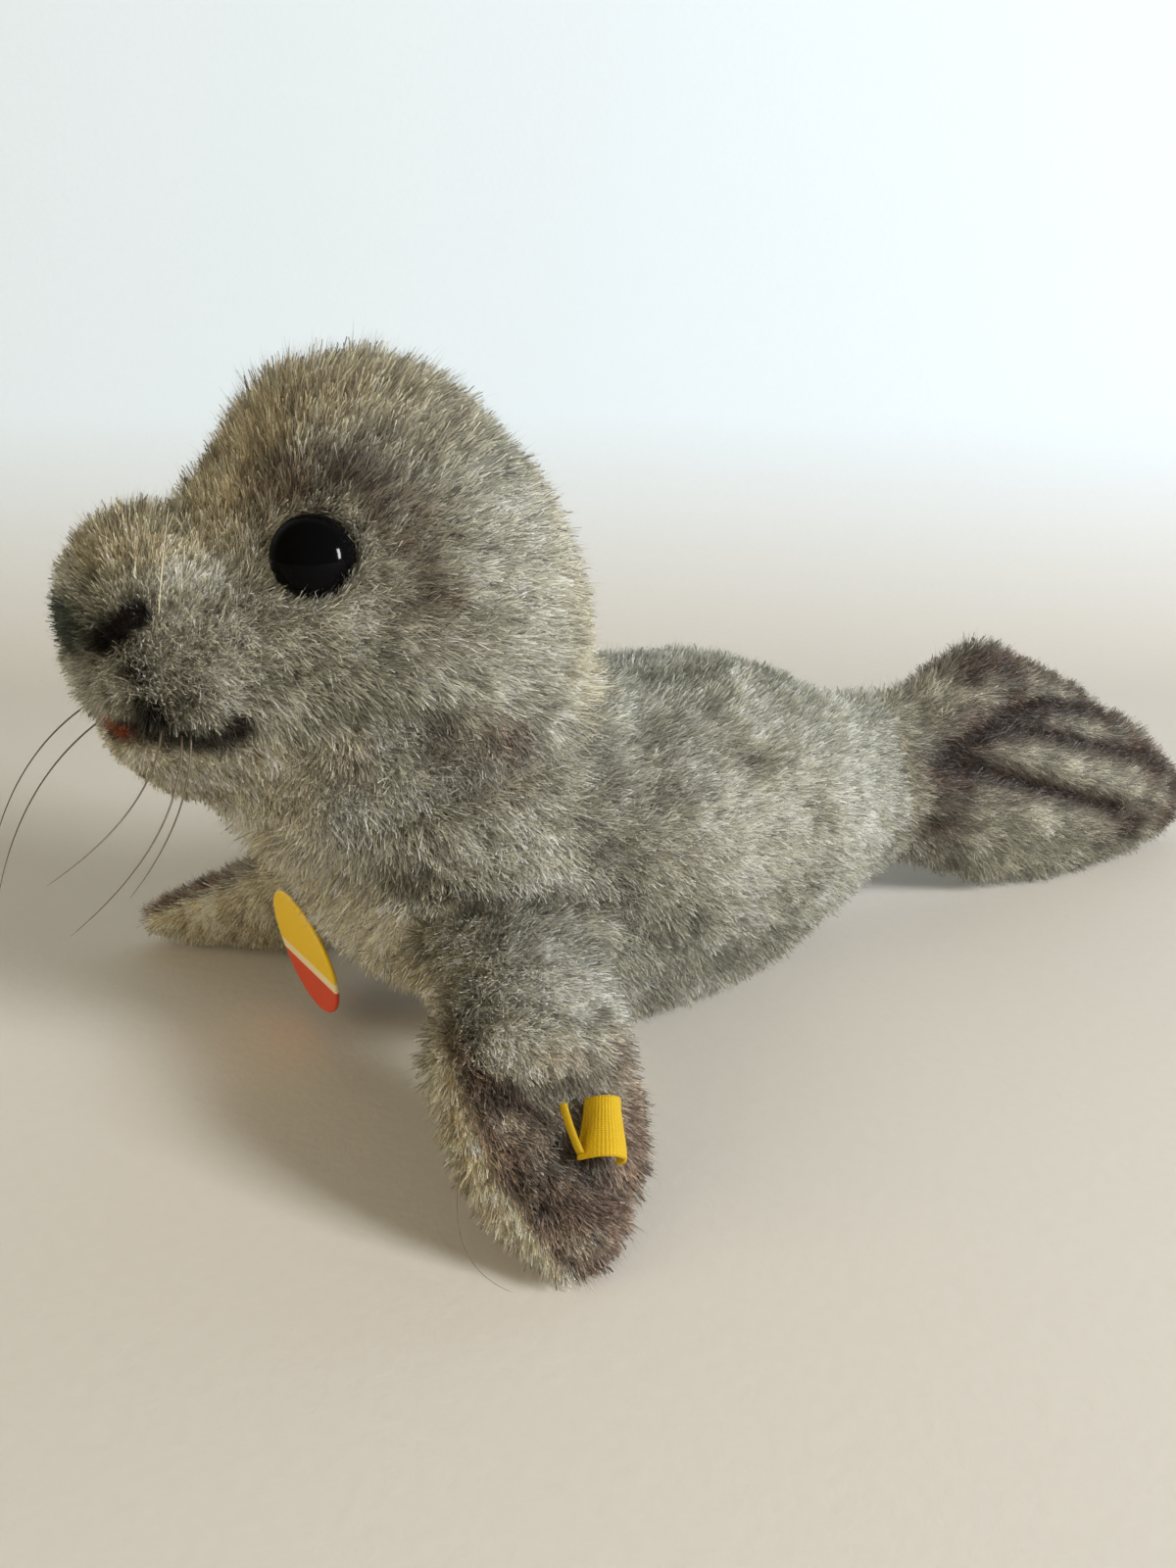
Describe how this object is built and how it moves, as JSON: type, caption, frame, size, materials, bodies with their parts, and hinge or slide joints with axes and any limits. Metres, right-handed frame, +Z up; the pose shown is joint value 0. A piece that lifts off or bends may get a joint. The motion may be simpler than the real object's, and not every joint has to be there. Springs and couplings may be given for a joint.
{
  "type": "plush seal",
  "caption": "Stuffed plush seal lying on its belly with its head raised, round glossy eyes, nylon whiskers, planted front flippers and an upright tail fin",
  "frame": {"origin": "middle of the bounding box, on the surface the seal rests on", "axes": "+Z up, +Y from the head to the tail, +X to the seal's left side; the seal faces -Y"},
  "size_m": [0.1322, 0.268, 0.1155],
  "materials": {
    "torso_plush": "short dense silver grey pile with dark roots",
    "head_plush": "longer silver grey pile shading to cream, with brown airbrushing",
    "flipper_plush": "grey brown pile above and cream pile below",
    "fin_plush": "grey brown pile, darker in the stitched tucks",
    "black_eye": "polished black dome",
    "nylon": "thin clear brown nylon thread",
    "card": "coated card in yellow, cream and red",
    "ribbon_weave": "yellow woven ribbon"
  },
  "bodies": {
    "root": {"torso": "torso_plush", "head": "head_plush", "front_flipper_left": "flipper_plush", "front_flipper_right": "flipper_plush", "tail_fin": "fin_plush", "eye_left": "black_eye", "eye_right": "black_eye", "whisker_left_1": "nylon", "whisker_left_2": "nylon", "whisker_left_3": "nylon", "whisker_right_1": "nylon", "whisker_right_2": "nylon", "chest_tag": "card", "ribbon_label": "ribbon_weave"}
  },
  "joints": []
}
